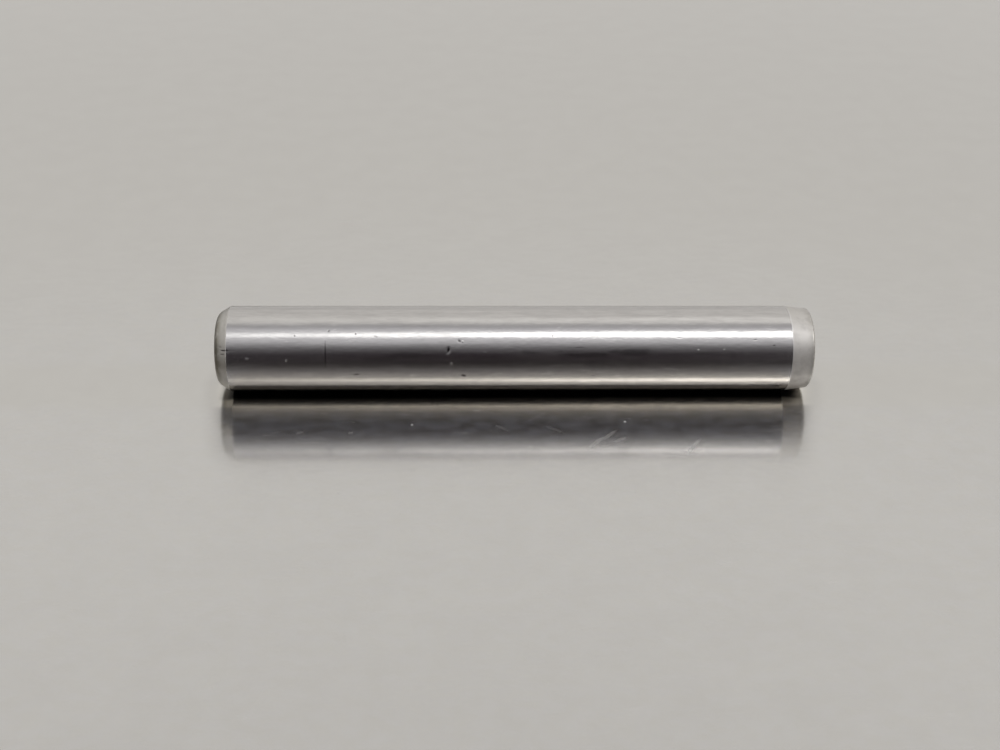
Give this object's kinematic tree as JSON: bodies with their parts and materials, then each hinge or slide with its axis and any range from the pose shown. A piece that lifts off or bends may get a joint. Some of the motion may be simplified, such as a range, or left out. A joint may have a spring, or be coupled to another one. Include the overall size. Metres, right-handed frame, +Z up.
{
  "type": "dowel pin",
  "caption": "Ground steel dowel pin with a rounded end and a tapered point end, pressed into a reamed hole to locate one part on another.",
  "frame": {"origin": "middle of the pin's length, on its axis", "axes": "+X along the pin towards its tapered point, +Z up as the pin lies"},
  "size_m": [0.0444, 0.0064, 0.0064],
  "materials": {
    "ground_steel": "centreless-ground shank, duller turned ends, light oil stains and handling marks"
  },
  "bodies": {
    "root": {"dowel_pin": "ground_steel"}
  },
  "joints": []
}
